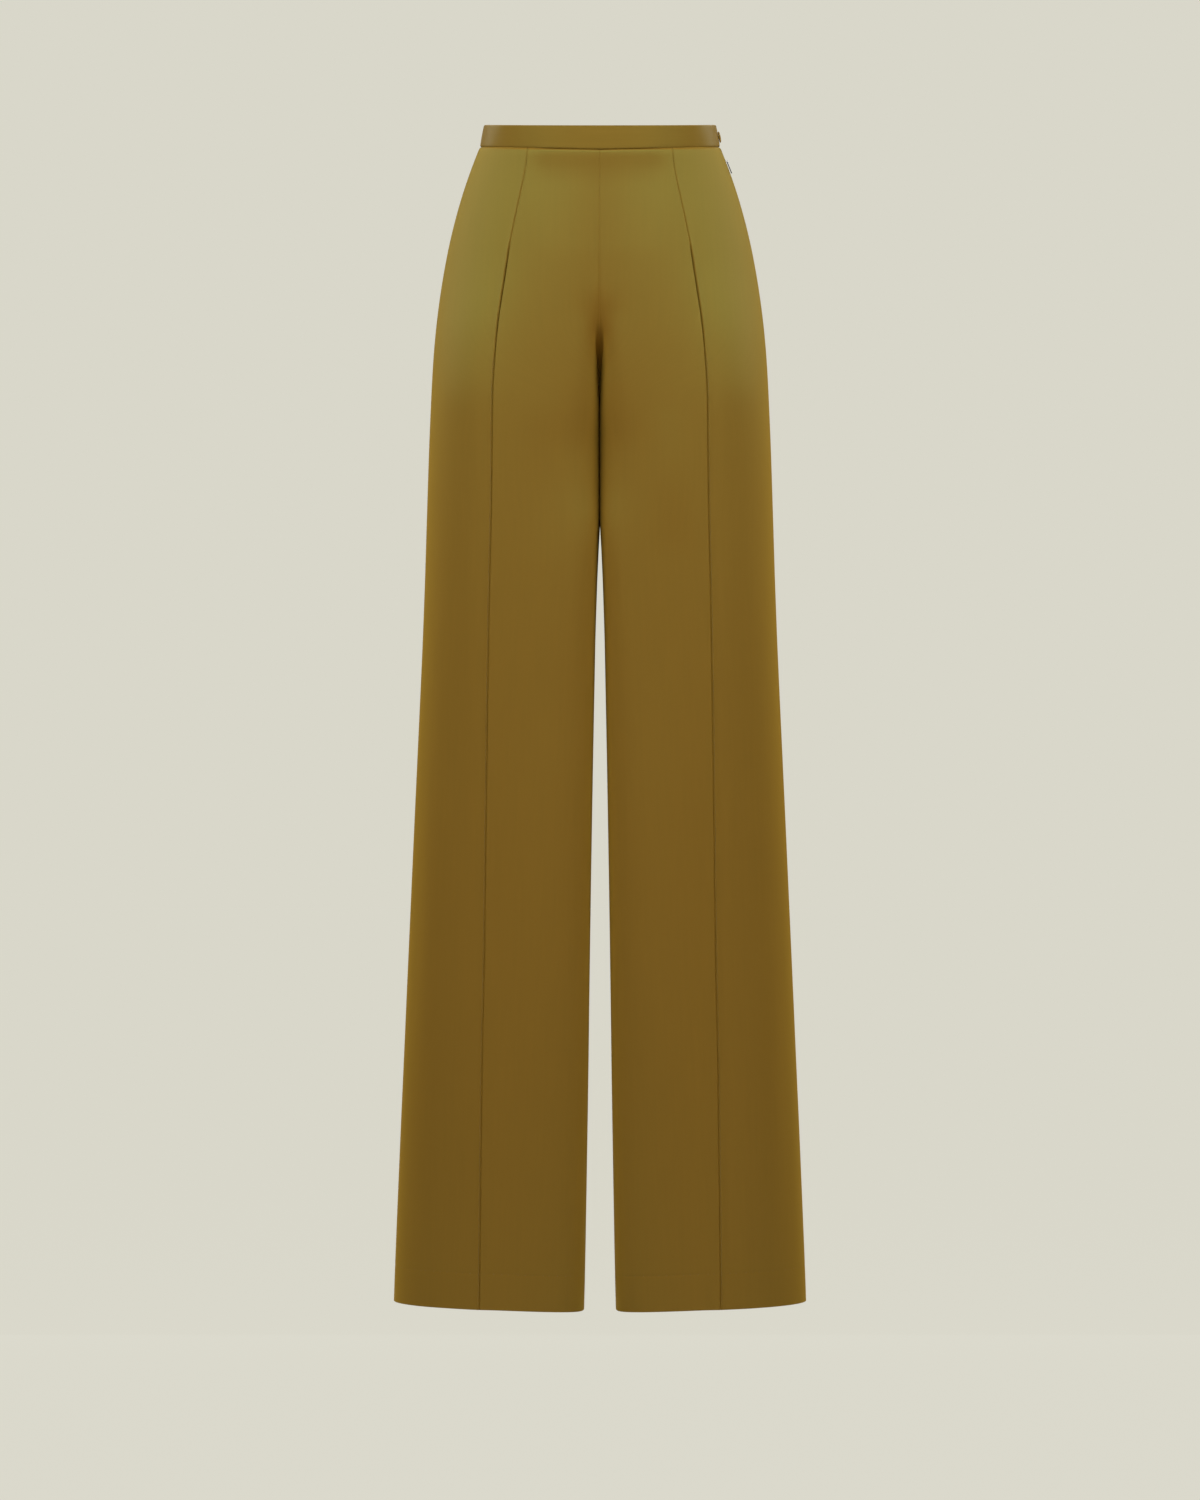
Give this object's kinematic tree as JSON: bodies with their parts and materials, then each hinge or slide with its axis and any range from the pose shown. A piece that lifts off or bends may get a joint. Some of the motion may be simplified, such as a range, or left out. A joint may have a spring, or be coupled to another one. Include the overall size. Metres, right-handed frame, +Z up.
{
  "type": "trousers",
  "caption": "Wide-leg satin trousers with a narrow waistband, stitched front creases and a side zip, in the shape they have when worn.",
  "frame": {"origin": "centre of the waistband ring, at half the band's height", "axes": "+Z up, -Y the front, +X the wearer's left (the zip's side)"},
  "size_m": [0.4122, 0.2233, 1.1831],
  "materials": {
    "satin": "olive satin with a soft sheen",
    "zip_tape": "matt woven tape in the cloth's colour",
    "slider_metal": "bright silver",
    "pull_metal": "dark gunmetal"
  },
  "bodies": {
    "trousers": {"front_left": "satin", "front_right": "satin", "back_left": "satin", "back_right": "satin", "waistband": "satin", "button": "satin", "zip_tape": "zip_tape", "zip_slider": "slider_metal"},
    "zip_pull": {"zip_pull": "pull_metal"}
  },
  "joints": [
    {"name": "zip_pull_hinge", "type": "hinge", "parent": "trousers", "child": "zip_pull", "pos_m": [0.12698, -0.00791, -0.02624], "axis": [-0.0624, -0.9976, -0.0294], "range_deg": [0, 160]}
  ]
}
